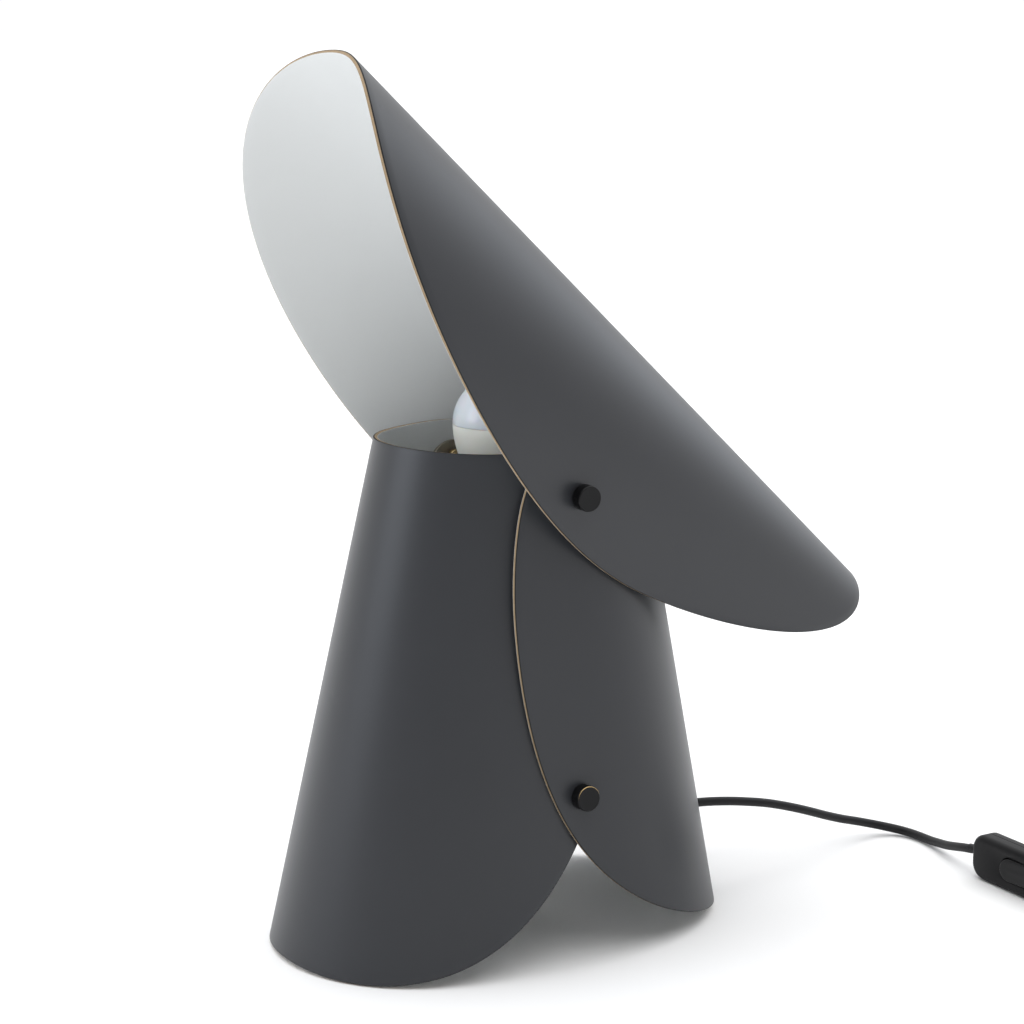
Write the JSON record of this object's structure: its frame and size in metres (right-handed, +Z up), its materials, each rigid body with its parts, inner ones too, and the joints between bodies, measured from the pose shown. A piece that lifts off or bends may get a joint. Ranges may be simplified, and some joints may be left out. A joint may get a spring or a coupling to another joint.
{
  "type": "table lamp",
  "caption": "Table lamp: two bent laminate sheets stand back to back as the base, a third is clamped over them as a tilting shade; corded, with in-line switch.",
  "frame": {"origin": "centre of the lamp's footprint box on the table, below the middle of the lamp without its cord", "axes": "+Z up, -Y towards the light opening, +Y where the cord leaves, +X to the lamp's left seen from the opening"},
  "size_m": [0.3201, 0.5628, 0.5011],
  "materials": {
    "painted sheet face": "satin dark slate laminate",
    "sheet core": "cut edge of pressed board",
    "sheet liner": "off-white laminate",
    "knob black": "satin black lacquer",
    "screw brass": "turned brass",
    "plain steel": "zinc plated steel",
    "bracket steel": "dull zinc plated strip",
    "holder plastic": "black moulded plastic",
    "contact brass": "drawn brass",
    "bulb cap metal": "nickelled shell",
    "bulb plastic": "warm white plastic",
    "bulb board": "white board",
    "bulb dome": "frosted white diffuser",
    "cord rubber": "black round mains cord",
    "switch plastic": "black moulded plastic",
    "rocker plastic": "black moulded plastic",
    "tie fabric": "woven hook-and-loop strap",
    "plug pin metal": "nickelled brass"
  },
  "bodies": {
    "root": {"front_sheet_face": "painted sheet face", "front_sheet_core": "sheet core", "front_sheet_liner": "sheet liner", "rear_sheet_face": "painted sheet face", "rear_sheet_core": "sheet core", "rear_sheet_liner": "sheet liner", "pivot_spacers": "plain steel", "upper_nuts": "screw brass", "lower_washers": "plain steel", "lower_nuts": "screw brass", "holder_bracket": "bracket steel", "holder_body": "holder plastic", "holder_sleeve": "contact brass", "holder_contact": "contact brass", "holder_nipple": "contact brass", "holder_locknut": "plain steel", "bulb_cap": "bulb cap metal", "bulb_tip": "contact brass", "bulb_housing": "bulb plastic", "bulb_board": "bulb board", "bulb_dome": "bulb dome", "inner_lead": "cord rubber", "strain_relief": "cord rubber", "strain_relief_nut": "plain steel", "cord_run": "cord rubber", "switch_cover": "switch plastic", "switch_base": "switch plastic", "switch_screws": "plain steel", "switch_contacts": "contact brass", "cord_tail": "cord rubber", "cord_coil": "cord rubber", "cord_tie": "tie fabric", "plug_lead": "cord rubber", "plug_body": "switch plastic", "plug_pins": "plug pin metal"},
    "shade": {"shade_face": "painted sheet face", "shade_core": "sheet core", "shade_liner": "sheet liner"},
    "upper_knob_right": {"upper_knob_right": "knob black", "upper_screw_right": "screw brass"},
    "upper_knob_left": {"upper_knob_left": "knob black", "upper_screw_left": "screw brass"},
    "lower_knob_right": {"lower_knob_right": "knob black", "lower_screw_right": "screw brass"},
    "lower_knob_left": {"lower_knob_left": "knob black", "lower_screw_left": "screw brass"},
    "switch_rocker": {"switch_rocker": "rocker plastic"}
  },
  "joints": [
    {"name": "shade_tilt", "type": "hinge", "parent": "root", "child": "shade", "pos_m": [0, -0.0493, 0.2645], "axis": [1, 0, 0], "range_deg": [-3, 30]},
    {"name": "upper_knob_right_turn", "type": "hinge", "parent": "root", "child": "upper_knob_right", "pos_m": [0.085, -0.0493, 0.2645], "axis": [1, 0, 0], "continuous": true},
    {"name": "upper_knob_left_turn", "type": "hinge", "parent": "root", "child": "upper_knob_left", "pos_m": [-0.085, -0.0493, 0.2645], "axis": [-1, 0, 0], "continuous": true},
    {"name": "lower_knob_right_turn", "type": "hinge", "parent": "root", "child": "lower_knob_right", "pos_m": [0.084, -0.0496, 0.0963], "axis": [0.9956, 0, 0.0941], "continuous": true},
    {"name": "lower_knob_left_turn", "type": "hinge", "parent": "root", "child": "lower_knob_left", "pos_m": [-0.084, -0.0496, 0.0963], "axis": [-0.9956, 0, 0.0941], "continuous": true},
    {"name": "rocker_press", "type": "hinge", "parent": "root", "child": "switch_rocker", "pos_m": [0.128, 0.2375, 0.014], "axis": [0, 0, 1], "range_deg": [-8, 0]}
  ]
}
